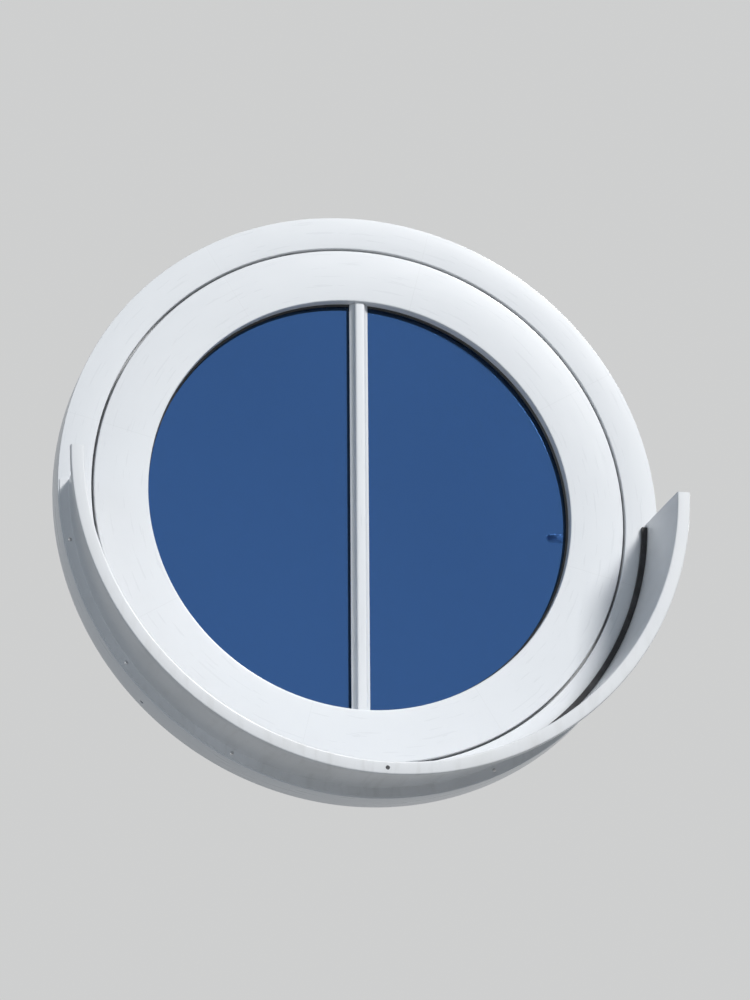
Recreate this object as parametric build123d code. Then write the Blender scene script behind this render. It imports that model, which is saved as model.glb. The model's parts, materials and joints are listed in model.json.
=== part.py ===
# Round porthole window: a white painted timber sash that opens inwards in a round timber frame,
# a half-round aluminium sill with a drip lip in front, and the locking gear, hinges and handle inside.
#
# Millimetres. X to the right as seen from outside, Y into the building, Z up.
# The origin is the centre of the window at the outer face of the frame.
# Angles on the window are counted from +X towards +Z, as seen from outside.

import os
from math import acos, cos, degrees, pi, radians, sin, sqrt, tan

from build123d import *

# Driving dimensions

# Daylight opening and the rings round it
sight_radius = 430.0            # visible glass
sash_face_width = 108.5         # outer face of the sash
seam_gap = 5.0                  # dark seam between sash and frame
frame_face_width = 66.5         # outer face of the frame
frame_depth = 62.0

# Closing edge between frame and sash
stop_depth = 22.0               # thickness of the frame's outer leg
stop_gap = 4.0                  # room for the frame gasket
sash_shoulder = 11.5            # step of the sash behind its outer leg
rebate_air = 12.0               # room for the locking gear
leaf_overlap = 8.0              # how far the sash laps over the frame inside
leaf_gap = 2.0                  # frame's inner face to the leaf
leaf_thickness = 16.0
arris = 2.0                     # bevel on the timber edge round the glass

# Glazing
leg_thickness = 20.0            # timber in front of the glass
seal_thickness = 3.0
seal_width = 14.0
seal_reveal = 4.0               # part of the seal that shows round the glass
pane_thickness = 4.0
cavity = 16.0
edge_cover = 14.0               # how far the glass reaches behind the timber
block_thickness = 5.0           # setting blocks round the glass
block_length = 100.0
block_angles = (0.0, 60.0, 120.0, 180.0, 248.0, 292.0)
spacer_width = 9.7
bead_slope = 9.0

# Glazing bars
bar_width = 37.0
bar_face = 15.0
bar_height = 18.0
bar_edge = 4.0
bar_hollow = 17.0               # radius of the hollow sides
spacer_bar_width = 24.0

# Gasket, a lip that leans on the sash's shoulder
gasket_base = 5.2

# Sill
sheet = 2.0
sill_reach = 192.0              # from the frame's face to the back of the lip
sill_setback = 23.5             # frame's edge to the trough
sill_fall = 6.5                 # drop of the trough from back to front
lip_width = 26.0
lip_return = 12.0
sill_flange = 20.0
joint_tape_width = 10.8
joint_tape_thickness = 8.0
joint_tape_end = 1.0            # degrees from each end of the sill

# Locking gear
rail_width = 16.0
rail_thickness = 2.5
rail_inset = 0.5                # rail below the sash's edge
rail_half_angle = 70.0
groove_clearance = 0.3
groove_end_room = 2.0           # degrees past the rail at each end of its travel
gear_module = 1.5
pinion_teeth = 16
pinion_width = 10.0
pressure_angle = 20.0
flank_steps = 2                 # straight pieces in one side of a tooth
backlash = 0.24
rack_teeth_behind = 6
rack_teeth_ahead = 2
rack_inset = 1.0                # the rack is narrower than the pinion by this on each side
rack_back_steps = 8             # straight pieces in the rack's back, which is inside the rail
handle_turn = 90.0
case_wall = 2.0
case_clearance = 1.0            # between the pinion and the case
case_end_room = 1.5
cam_angles = (-58.0, 0.0, 58.0)
cam_shank = 3.0
cam_head = 5.0
cam_head_thickness = 2.5
cam_head_gap = 1.0              # between a cam's head and the keep's plate
keep_plate = 2.5
keep_half_length = 30.0
keep_front = 11.0               # plate in front of the cams
keep_back = 16.0                # plate behind the cams
keep_wall = 4.0
keep_clearance = 0.6
keep_lip = 3.5
keep_sash_gap = 1.5             # between the hooked wall and the sash
keep_entry = 2.0                # between a cam at rest and the hooked wall
keep_end_step = 0.2             # degrees that the wall stops short of the plate's end
keep_weld = 0.5                 # the wall's root in the plate

# Handle
handle_inset = 25.0             # handle axis from the sash's edge
spindle = 7.0
hub_radius = 6.0
hub_clearance = 1.0             # round the hub, in the sash and the rose's base
running_fit = 0.05
rose_width = 30.0
rose_length = 68.0
rose_thickness = 12.0
rose_wall = 2.0
rose_base_thickness = 4.0
rose_bevel = 2.0
neck_radius = 9.0
neck_clearance = 0.1
neck_gap = 1.0                  # between the neck and the rose's base
lever_height = 46.0             # middle of the grip above the sash
lever_reach = 112.0
lever_width = 20.0
lever_tip_width = 16.0
lever_thickness = 12.0
lever_bevel = 2.5
socket_depth = 16.0             # spindle in the lever's neck

# Hinges
barrel_radius = 7.5
barrel_gap = 0.5                # barrel to the frame's inner face
barrel_side_gap = 2.5           # barrel to the sash's edge
knuckle_length = 40.0
knuckle_gap = 0.3
hinge_heights = (-90.0, 90.0)
hinge_pin_radius = 4.0
hinge_pin_reach = 30.0          # pin in each knuckle
pin_end_room = 1.0              # above the pin, in the sash's knuckle
hinge_fit = 0.06
wing_thickness = 2.5
frame_wing = 12.0               # plate on the frame, out from the hinge axis
sash_wing = 45.0                # plate on the sash, in from the hinge axis
wing_web = 5.0

# Clearance and fixing holes
slip = 0.3                      # round pieces that seat in one another stand this far apart
past = 1.0                      # cutting shapes run this far past what they cut
fixing_hole_radius = 4.0
fixing_hole_count = 4

# Worked-out dimensions

sash_radius = sight_radius + sash_face_width
frame_inner_radius = sash_radius + seam_gap
frame_radius = frame_inner_radius + frame_face_width
body_radius = sash_radius + sash_shoulder
rebate_radius = body_radius + rebate_air
leaf_radius = rebate_radius + leaf_overlap
shoulder_depth = stop_depth + stop_gap
leaf_front = frame_depth + leaf_gap
sash_depth = leaf_front + leaf_thickness

outer_pane_depth = leg_thickness + seal_thickness
cavity_depth = outer_pane_depth + pane_thickness
inner_pane_depth = cavity_depth + cavity
glass_back = inner_pane_depth + pane_thickness
bead_depth = glass_back + seal_thickness
glass_radius = sight_radius + edge_cover
glazing_radius = glass_radius + block_thickness

sill_rear_radius = frame_radius - sill_setback
sill_front_radius = sill_rear_radius + sill_fall
lip_front = -(sill_reach + sheet)
lip_radius = sill_front_radius + lip_width

rail_depth = (shoulder_depth + leaf_front) / 2
rail_outer_radius = body_radius - rail_inset
rail_inner_radius = rail_outer_radius - rail_thickness
pinion_radius = gear_module * pinion_teeth / 2
handle_radius = body_radius - handle_inset
rack_radius = handle_radius + pinion_radius
rail_turn = handle_turn * pinion_radius / rack_radius
tooth_pitch = pi * gear_module
addendum = gear_module
dedendum = 1.25 * gear_module

hinge_x = -(leaf_radius + barrel_radius + barrel_side_gap)
hinge_y = frame_depth + barrel_gap + barrel_radius


# Helpers

def at_angle(shape, angle):
    """The shape, turned about the window's axis from 3 o'clock to the given angle."""
    return Rot(0, -angle, 0) * shape


def section(*corners):
    """A closed section of (radius, depth) corners. A third value bevels that corner."""
    face = make_face(Polyline(*[(c[0], c[1]) for c in corners], close=True))
    for radius, depth, bevel in [c for c in corners if len(c) == 3]:
        corner = face.vertices().sort_by_distance((radius, depth, 0))[0]
        face = chamfer(corner, bevel)
    return face


def turned(face, start=0.0, sweep=360.0):
    """The section turned about the window's axis, from the start angle through the sweep."""
    return revolve(at_angle(face, start + sweep), Axis.Y, sweep)


def rod(radius, start, end):
    """A round rod from one point to another."""
    run = Vector(*end) - Vector(*start)
    return Plane(origin=start, z_dir=run) * extrude(Circle(radius), run.length)


def radial_rod(radius, inner, outer, depth, angle):
    """A round rod that points away from the window's axis."""
    return at_angle(rod(radius, (inner, depth, 0), (outer, depth, 0)), angle)


# Frame

def outer_frame():
    """Ring with a stop outside, a rebate for the locking gear and fixing holes."""
    ring = turned(section(
        (frame_inner_radius, 0),
        (frame_inner_radius, stop_depth),
        (rebate_radius, stop_depth),
        (rebate_radius, frame_depth),
        (frame_radius, frame_depth),
        (frame_radius, 0),
    ))
    depth = (stop_depth + frame_depth) / 2
    for number in range(fixing_hole_count):
        angle = (number + 0.5) * 360 / fixing_hole_count
        ring -= radial_rod(fixing_hole_radius, rebate_radius - past, frame_radius + past, depth, angle)
    return ring


def frame_gasket():
    """Rubber lip between the frame's stop and the sash's shoulder."""
    middle = (frame_inner_radius + body_radius) / 2
    return turned(section(
        (middle - gasket_base / 2, stop_depth), (middle + gasket_base / 2, stop_depth),
        (middle, shoulder_depth - slip),
    ))


# Sash

def sash_frame():
    """Ring with a leg in front of the glass, a shoulder on the gasket and a leaf over the frame."""
    ring = turned(section(
        (sight_radius, 0, arris),
        (sight_radius, leg_thickness),
        (glazing_radius, leg_thickness),
        (glazing_radius, sash_depth),
        (leaf_radius, sash_depth),
        (leaf_radius, leaf_front),
        (body_radius, leaf_front),
        (body_radius, shoulder_depth),
        (sash_radius, shoulder_depth),
        (sash_radius, 0),
    ))
    ring -= rail_groove()
    ring -= gear_mortise()
    way = hub_radius + hub_clearance
    ring -= rod(way, (handle_radius, rail_depth, 0), (handle_radius, sash_depth + past, 0))
    return ring


def rail_groove():
    """Groove in the sash's edge that the drive rail slides in."""
    half = rail_width / 2 + groove_clearance
    groove = section(
        (rail_inner_radius - groove_clearance, rail_depth - half), (body_radius + past, rail_depth - half),
        (body_radius + past, rail_depth + half), (rail_inner_radius - groove_clearance, rail_depth + half),
    )
    start = -(rail_half_angle + groove_end_room)
    return turned(groove, start, 2 * (rail_half_angle + groove_end_room) + rail_turn)


def case_half_length():
    """Half the gearbox, long enough for the rack at both ends of its travel."""
    rack_end = (rack_teeth_behind + 0.5) * tooth_pitch
    return rack_end + case_end_room + case_wall


def case_back_radius():
    """The gearbox's back, behind the pinion."""
    return handle_radius - pinion_radius - addendum - case_clearance - case_wall


def case_depths():
    """Front and back of the gearbox."""
    half = pinion_width / 2 + case_clearance + case_wall
    return rail_depth - half, rail_depth + half


def gear_mortise():
    """Pocket in the sash for the gearbox."""
    front, back = case_depths()
    length = 2 * (case_half_length() + slip)
    inner = case_back_radius() - slip
    width = rail_inner_radius - inner
    centre = Pos(inner + width / 2, (front + back) / 2, 0)
    return centre * Box(width, back - front, length)


# Glazing

def glass_disc(front):
    back = front + pane_thickness
    return turned(section((0, front), (glass_radius, front), (glass_radius, back), (0, back)))


def flat_ring(inner, outer, front, back):
    return turned(section((inner, front), (outer, front), (outer, back), (inner, back)))


def setting_blocks():
    """Curved blocks between the panes' edge and the sash."""
    sweep = degrees(block_length / glass_radius)
    face = section(
        (glass_radius + slip, outer_pane_depth), (glazing_radius - slip, outer_pane_depth),
        (glazing_radius - slip, glass_back), (glass_radius + slip, glass_back),
    )
    return Compound([turned(face, a - sweep / 2, sweep).solid() for a in block_angles])


def glazing_bead():
    """Timber bead that holds the glass from inside, sloped towards the room."""
    return turned(section(
        (sight_radius, bead_depth), (glazing_radius - slip, bead_depth),
        (glazing_radius - slip, sash_depth), (sight_radius + bead_slope, sash_depth),
    ))


def bar_profile():
    """Half-moulded bar section: square edges, hollow sides and a flat face, standing on y = 0."""
    half, face = bar_width / 2, bar_face / 2
    edge, nose = (half, bar_edge), (face + arris, bar_height - arris)
    side = Wire([
        Line((half, 0), edge), RadiusArc(edge, nose, -bar_hollow),
        *Polyline(nose, (face, bar_height), (0, bar_height)).edges(),
    ])
    other = side.mirror(Plane.YZ)
    base = Line((-half, 0), (half, 0))
    return make_face([*side.edges(), *other.edges(), *base.edges()])


def glazing_bar(seat, direction, seal_front, seal_back):
    """A vertical bar bonded to the pane at the seat depth, with its ends notched round the seal.

    Direction -1 stands outwards, 1 inwards.
    """
    plane = Plane(origin=(0, seat, -sight_radius), x_dir=(direction, 0, 0), z_dir=(0, 0, 1))
    bar = plane * extrude(bar_profile(), 2 * sight_radius)
    reach = bar_height + past
    bar &= rod(sight_radius - slip, (0, seat - reach, 0), (0, seat + reach, 0))
    return bar - flat_ring(sight_radius - seal_reveal - slip, sight_radius + past, seal_front, seal_back)


def lip_seal(pane_face, timber_face):
    """Three-cornered seal: flat on the pane, with its thick edge against the timber."""
    inner = sight_radius - seal_reveal
    return turned(section(
        (inner, pane_face), (inner + seal_width, pane_face), (inner + seal_width, timber_face),
    ))


def spacer_bar():
    """Bar between the panes, behind the two glazing bars."""
    height = 2 * (glass_radius - spacer_width - slip)
    bar = Box(spacer_bar_width, cavity, height)
    cut = rod(height / 2, (0, -cavity, 0), (0, cavity, 0))
    return Pos(0, cavity_depth + cavity / 2, 0) * (bar & cut)


# Sill

def sill_trough():
    """Folded sheet: flange on the frame, trough with a slight fall, drip lip and its return."""
    profile = section(
        (sill_rear_radius, 0),
        (sill_rear_radius + sill_flange, 0),
        (sill_rear_radius + sill_flange, -sheet),
        (sill_rear_radius + sheet, -sheet),
        (sill_front_radius + sheet, -sill_reach),
        (lip_radius - sheet, -sill_reach),
        (lip_radius - sheet, lip_front + lip_return),
        (lip_radius, lip_front + lip_return),
        (lip_radius, lip_front),
        (sill_front_radius, lip_front),
    )
    return turned(profile, 180, 180)


def joint_tape():
    """Black foam tape in the corner between the frame's face and the trough."""
    outer = sill_rear_radius - slip
    inner = outer - joint_tape_width
    face = section(
        (inner, 0), (outer, 0), (outer, -joint_tape_thickness), (inner, -joint_tape_thickness),
    )
    return turned(face, 180 + joint_tape_end, 180 - 2 * joint_tape_end)


# Locking gear

def involute(angle):
    return tan(angle) - angle


def pinion_outline():
    """Teeth with involute flanks, and a gap between two teeth towards the rack."""
    base = pinion_radius * cos(radians(pressure_angle))
    tip, root = pinion_radius + addendum, pinion_radius - dedendum
    half = pi / (2 * pinion_teeth) - backlash / (4 * pinion_radius) + involute(radians(pressure_angle))
    flank = [root] + [base + (tip - base) * k / flank_steps for k in range(flank_steps + 1)]
    points = []
    for tooth in range(pinion_teeth):
        middle = 2 * pi * (tooth + 0.5) / pinion_teeth
        for side, radii in ((-1, flank), (1, flank[::-1])):
            for r in radii:
                turn = half - involute(acos(min(1, base / r)))
                points.append((r * cos(middle + side * turn), r * sin(middle + side * turn)))
    return make_face(Polyline(*points, close=True))


def along_y(face, start, length):
    """The face, drawn with X to the right and Z up, extruded into the building from the start depth."""
    plane = Plane(origin=(0, start, 0), x_dir=(1, 0, 0), z_dir=(0, -1, 0))
    return plane * extrude(face, -length)


def gear_pinion():
    """Pinion with a hub at both ends and a square hole for the spindle."""
    hub_length = case_depths()[1] - case_depths()[0]
    pinion = along_y(pinion_outline(), rail_depth - pinion_width / 2, pinion_width)
    pinion += along_y(Circle(hub_radius), rail_depth - hub_length / 2, hub_length)
    square = spindle + 2 * running_fit
    pinion -= along_y(Rectangle(square, square), case_depths()[0] + case_wall, hub_length)
    return Pos(handle_radius, 0, 0) * pinion


def rack_point(along, radius):
    """A point of the curved rack, by its way along the pitch line."""
    angle = along / rack_radius
    return radius * cos(angle), radius * sin(angle)


def rack_outline():
    """Rack teeth on the inside of the rail, which mesh with the pinion."""
    tip, root = rack_radius - addendum, rack_radius + dedendum
    slope = tan(radians(pressure_angle))
    half = tooth_pitch / 4 - backlash / 4
    points = []
    for tooth in range(-rack_teeth_behind, rack_teeth_ahead + 1):
        middle = tooth * tooth_pitch
        narrow, wide = half - addendum * slope, half + dedendum * slope
        for offset, radius in ((-wide, root), (-narrow, tip), (narrow, tip), (wide, root)):
            points.append(rack_point(middle + offset, radius))
    first = -(rack_teeth_behind + 0.5) * tooth_pitch
    last = (rack_teeth_ahead + 0.5) * tooth_pitch
    seat = (rail_inner_radius + rail_outer_radius) / 2
    step = (first - last) / rack_back_steps
    outer = [rack_point(last + k * step, seat) for k in range(rack_back_steps + 1)]
    return make_face(Polyline(rack_point(first, root), *points, rack_point(last, root), *outer, close=True))


def drive_rail():
    """Curved strip that carries the cams, with the rack in its middle."""
    half = rail_width / 2
    strip = section(
        (rail_inner_radius, rail_depth - half), (rail_outer_radius, rail_depth - half),
        (rail_outer_radius, rail_depth + half), (rail_inner_radius, rail_depth + half),
    )
    rail = turned(strip, -rail_half_angle, 2 * rail_half_angle)
    width = pinion_width - 2 * rack_inset
    return rail + along_y(rack_outline(), rail_depth - width / 2, width)


def cam_head_radius():
    return rebate_radius - slip - keep_plate - cam_head_gap


def locking_cams():
    """Mushroom-headed studs on the rail."""
    top = cam_head_radius()
    neck = radial_rod(cam_shank, rail_outer_radius, top - cam_head_thickness, rail_depth, 0)
    head = radial_rod(cam_head, top - cam_head_thickness, top, rail_depth, 0)
    return Compound([at_angle(neck + head, angle).solid() for angle in cam_angles])


def keep(angle):
    """Plate on the frame's rebate, with a hooked wall that holds the turned cam back."""
    outer = rebate_radius - slip
    plate_top = outer - keep_plate
    inner = body_radius + keep_sash_gap
    wall_front = rail_depth + cam_head + keep_clearance
    lip_edge = rail_depth + cam_shank + keep_clearance
    sweep = degrees(2 * keep_half_length / outer)
    start = angle + (rail_turn - sweep) / 2
    plate = turned(section(
        (plate_top, rail_depth - keep_front), (outer, rail_depth - keep_front),
        (outer, rail_depth + keep_back), (plate_top, rail_depth + keep_back),
    ), start, sweep)
    wall_start = angle + degrees((cam_head + keep_entry) / outer)
    wall = turned(section(
        (plate_top + keep_weld, wall_front), (plate_top + keep_weld, wall_front + keep_wall),
        (inner, wall_front + keep_wall), (inner, lip_edge),
        (inner + keep_lip, lip_edge), (inner + keep_lip, wall_front),
    ), wall_start, start + sweep - keep_end_step - wall_start)
    return (plate + wall).solid()


def gearbox_case():
    """Open box round the pinion, with bearings for its hub in both plates."""
    front, back = case_depths()
    half = case_half_length()
    inner, outer = case_back_radius(), sqrt(rail_inner_radius ** 2 - half ** 2) - slip
    width = outer - inner
    case = Pos(inner + width / 2, (front + back) / 2, 0) * Box(width, back - front, 2 * half)
    hollow = Box(width, back - front - 2 * case_wall, 2 * (half - case_wall))
    case -= Pos(inner + case_wall + width / 2, (front + back) / 2, 0) * hollow
    bearing = hub_radius + running_fit
    case -= rod(bearing, (handle_radius, front - past, 0), (handle_radius, back + past, 0))
    return case


# Handle

def rose_base():
    """Plate under the rose's cover, with room for the pinion's hub."""
    width, length = (size - 2 * (rose_wall + slip) for size in (rose_width, rose_length))
    base = along_y(Rectangle(width, length), sash_depth, rose_base_thickness)
    base -= along_y(Circle(hub_radius + hub_clearance), sash_depth - past, rose_base_thickness + 2 * past)
    return Pos(handle_radius, 0, 0) * base


def rose_cover():
    """Shell over the base, with the bearing for the handle's neck."""
    cover = along_y(Rectangle(rose_width, rose_length), sash_depth, rose_thickness)
    cover = chamfer(cover.faces().sort_by(Axis.Y)[-1].edges(), rose_bevel)
    hollow = Rectangle(rose_width - 2 * rose_wall, rose_length - 2 * rose_wall)
    cover -= along_y(hollow, sash_depth - past, rose_thickness - rose_wall + past)
    cover -= along_y(Circle(neck_radius + neck_clearance), sash_depth, rose_thickness + past)
    return Pos(handle_radius, 0, 0) * cover


def handle_lever():
    """Round neck out of the rose and a tapered grip that points across the window at rest."""
    start = sash_depth + rose_base_thickness + neck_gap
    grip_back = sash_depth + lever_height - lever_thickness / 2
    hub = Circle(lever_width / 2).edge()
    tip = (Pos(lever_tip_width / 2 - lever_reach, 0) * Circle(lever_tip_width / 2)).edge()
    grip = along_y(make_hull([hub, tip]), grip_back, lever_thickness)
    grip = chamfer(grip.faces().sort_by(Axis.Y)[-1].edges(), lever_bevel)
    neck = along_y(Circle(neck_radius), start, grip_back - start)
    square = spindle + 2 * running_fit
    socket = along_y(Rectangle(square, square), start - past, socket_depth + past)
    return Pos(handle_radius, 0, 0) * (grip + neck - socket)


def handle_spindle():
    """Square bar from the pinion into the lever's neck."""
    front = case_depths()[0] + case_wall + running_fit
    back = sash_depth + rose_base_thickness + socket_depth
    return Pos(handle_radius, 0, 0) * along_y(Rectangle(spindle, spindle), front, back - front)


# Hinges

def hinge_rod(radius, low, high):
    """A round rod on the hinge axis between two heights."""
    return rod(radius, (hinge_x, hinge_y, low), (hinge_x, hinge_y, high))


def hinge_plate(left, right, front, back, low, high):
    """A flat plate beside the hinge axis, by its limits."""
    centre = Pos(hinge_x + (left + right) / 2, (front + back) / 2, (low + high) / 2)
    return centre * Box(right - left, back - front, high - low)


def hinge_frame_knuckle(height):
    """Lower knuckle, on a plate on the frame's inner face."""
    low = height - knuckle_length
    body = hinge_rod(barrel_radius, low, height)
    body += hinge_plate(-frame_wing, wing_web, frame_depth, frame_depth + wing_thickness, low, height)
    body -= hinge_rod(hinge_pin_radius + running_fit, height - hinge_pin_reach - running_fit, height)
    return body.solid()


def hinge_sash_knuckle(height):
    """Upper knuckle, cranked over the sash's edge to a plate on its inner face."""
    low, high = height + knuckle_gap, height + knuckle_length
    body = hinge_rod(barrel_radius, low, high)
    body += hinge_plate(-wing_web / 2, wing_web / 2, hinge_y, sash_depth + wing_thickness, low, high)
    body += hinge_plate(-wing_web / 2, sash_wing, sash_depth, sash_depth + wing_thickness, low, high)
    body -= hinge_rod(hinge_pin_radius + hinge_fit, height, height + hinge_pin_reach + pin_end_room)
    return body.solid()


def hinge_pin(height):
    return hinge_rod(hinge_pin_radius, height - hinge_pin_reach, height + hinge_pin_reach).solid()


# Parts list

parts = {
    "outer_frame": outer_frame(),
    "frame_gasket": frame_gasket(),
    "sill_trough": sill_trough(),
    "sill_joint_tape": joint_tape(),
    "keeps": Compound([keep(angle) for angle in cam_angles]),
    "hinge_frame_knuckles": Compound([hinge_frame_knuckle(height) for height in hinge_heights]),
    "hinge_pins": Compound([hinge_pin(height) for height in hinge_heights]),
    "hinge_sash_knuckles": Compound([hinge_sash_knuckle(height) for height in hinge_heights]),
    "sash_frame": sash_frame(),
    "outer_pane": glass_disc(outer_pane_depth),
    "inner_pane": glass_disc(inner_pane_depth),
    "pane_spacer": flat_ring(glass_radius - spacer_width, glass_radius, cavity_depth, inner_pane_depth),
    "outer_glazing_seal": lip_seal(outer_pane_depth, leg_thickness),
    "inner_glazing_seal": lip_seal(glass_back, bead_depth),
    "glazing_bead": glazing_bead(),
    "setting_blocks": setting_blocks(),
    "outer_glazing_bar": glazing_bar(outer_pane_depth, -1, leg_thickness, outer_pane_depth),
    "inner_glazing_bar": glazing_bar(glass_back, 1, glass_back, bead_depth),
    "spacer_bar": spacer_bar(),
    "gearbox_case": gearbox_case(),
    "gear_pinion": gear_pinion(),
    "drive_rail": drive_rail(),
    "locking_cams": locking_cams(),
    "rose_base": rose_base(),
    "rose_cover": rose_cover(),
    "handle_lever": handle_lever(),
    "handle_spindle": handle_spindle(),
}

os.makedirs("parts", exist_ok=True)
for name, shape in parts.items():
    export_step(shape, f"parts/{name}.step")
print(f"{len(parts)} parts, rail turns {rail_turn:.4f} degrees")
print(f"hinge axis at x {hinge_x:.1f}, y {hinge_y:.1f}, handle axis at x {handle_radius:.1f}")
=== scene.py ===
"""Round porthole window: white painted timber, tinted insulating glass and a half-round sheet sill.

Metres. X to the right as seen from outside, Y into the building, Z up, with the origin at the centre of the
window at the frame's outer face. Angles on the window run from +X towards +Z.
"""

import json
import logging
from dataclasses import dataclass, field
from enum import Enum
from math import cos, hypot, pi, radians, sin, sqrt
from typing import Callable, Sequence

import bmesh
import bpy
from mathutils import Matrix, Vector


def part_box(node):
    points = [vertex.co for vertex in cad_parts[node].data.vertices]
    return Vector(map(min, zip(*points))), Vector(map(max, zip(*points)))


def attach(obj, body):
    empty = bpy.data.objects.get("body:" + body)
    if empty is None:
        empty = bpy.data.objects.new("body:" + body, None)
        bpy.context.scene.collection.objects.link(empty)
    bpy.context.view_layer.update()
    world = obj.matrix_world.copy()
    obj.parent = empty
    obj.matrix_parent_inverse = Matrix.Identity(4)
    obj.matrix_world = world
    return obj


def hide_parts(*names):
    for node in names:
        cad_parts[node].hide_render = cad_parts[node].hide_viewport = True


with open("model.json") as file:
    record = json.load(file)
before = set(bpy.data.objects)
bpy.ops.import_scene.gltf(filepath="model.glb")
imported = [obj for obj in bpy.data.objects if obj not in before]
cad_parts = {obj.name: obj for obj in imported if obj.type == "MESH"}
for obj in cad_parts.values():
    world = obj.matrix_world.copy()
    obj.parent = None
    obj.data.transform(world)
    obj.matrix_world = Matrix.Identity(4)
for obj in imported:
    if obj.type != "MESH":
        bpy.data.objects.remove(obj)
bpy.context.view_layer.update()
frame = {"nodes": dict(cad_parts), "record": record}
log = logging.getLogger("porthole")

Point = tuple[float, float]
Triple = tuple[float, float, float]
Material = bpy.types.Material
Socket = bpy.types.NodeSocket
LOW, HIGH = 0, 1
X, Y, Z = 0, 1, 2
INTO_ROOM = Matrix(((1, 0, 0, 0), (0, 0, 1, 0), (0, 1, 0, 0), (0, 0, 0, 1)))
SMOOTH_ANGLE = radians(28)
RING_SEGMENTS = 288
HEAD_SEGMENTS = 20
POLE_RADIUS = 1e-5
SMALLEST_CORNER = 1e-4
MERGE_DISTANCE = 1e-7
NOISE_MIDDLE = (0.3, 0.7)


class Slot(Enum):
    """Material slots of the record."""

    TIMBER = "white_timber"
    SHEET = "white_sheet"
    STEEL = "zinc_steel"
    SATIN = "satin_aluminium"
    RUBBER = "black_rubber"
    GLASS = "clear_glass"
    SPACER = "spacer_metal"
    PLASTIC = "grey_plastic"


class Body(Enum):
    """Rigid bodies that pieces ride on."""

    FRAME = "frame"
    SASH = "sash"
    HANDLE = "handle"


# Node trees

@dataclass(frozen=True)
class Pattern:
    """A noise, and how it is remapped: what lies between low and high becomes start to end."""

    scale: float
    detail: float = 3.0
    low: float = 0.0
    high: float = 1.0
    start: float = 0.0
    end: float = 1.0


@dataclass(frozen=True)
class Relief:
    """A noise that stands up from the surface, by a height in metres and a strength."""

    scale: float
    detail: float
    height: float
    strength: float


class Nodes:
    """A node tree, built one node at a time."""

    def __init__(self, tree: bpy.types.NodeTree) -> None:
        """Take the tree of a material or of the world, and empty it."""
        self.tree = tree
        self.tree.nodes.clear()

    def put(self, target: Socket, value: object) -> None:
        """Give an input a constant, or link it to an output.

        Args:
            target: The input.
            value: A number, a colour or an output socket.
        """
        if isinstance(value, Socket):
            self.tree.links.new(value, target)
        else:
            target.default_value = value

    def node(self, kind: str, inputs: dict[str | int, object] | None = None,
             **values: object) -> bpy.types.Node:
        """Add a node.

        Args:
            kind: The node's Blender type.
            inputs: What goes into its inputs, by their name or place.
            values: Properties of the node.

        Returns:
            The new node.
        """
        made = self.tree.nodes.new(kind)
        for key, value in values.items():
            setattr(made, key, value)
        for key, value in (inputs or {}).items():
            self.put(made.inputs[key], value)
        return made

    def math(self, operation: str, *inputs: object) -> Socket:
        """The result of a math node on sockets or numbers."""
        return self.node("ShaderNodeMath", dict(enumerate(inputs)), operation=operation).outputs[0]

    def light(self, kind: str, colour: Triple, strength: float = 1.0) -> Socket:
        """The output of a new node that gives off light."""
        return self.node(kind, {"Color": (*colour, 1.0), "Strength": strength}).outputs[0]

    def show(self, lit: Socket, shown: Socket, output: Socket, share: float = 1.0) -> None:
        """Light the object with one shader, and show another to rays that look at it.

        Args:
            lit: The shader that lights the object.
            shown: The shader that is seen: straight, in a gloss or through glass.
            output: The tree's last input.
            share: How much of the seen one is shown.
        """
        rays = self.node("ShaderNodeLightPath").outputs
        seen = rays["Is Camera Ray"]
        for name in ("Is Glossy Ray", "Is Transmission Ray"):
            seen = self.math("MAXIMUM", seen, rays[name])
        mix = self.node("ShaderNodeMixShader", {0: self.math("MULTIPLY", seen, share), 1: lit, 2: shown})
        self.put(output, mix.outputs[0])


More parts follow.
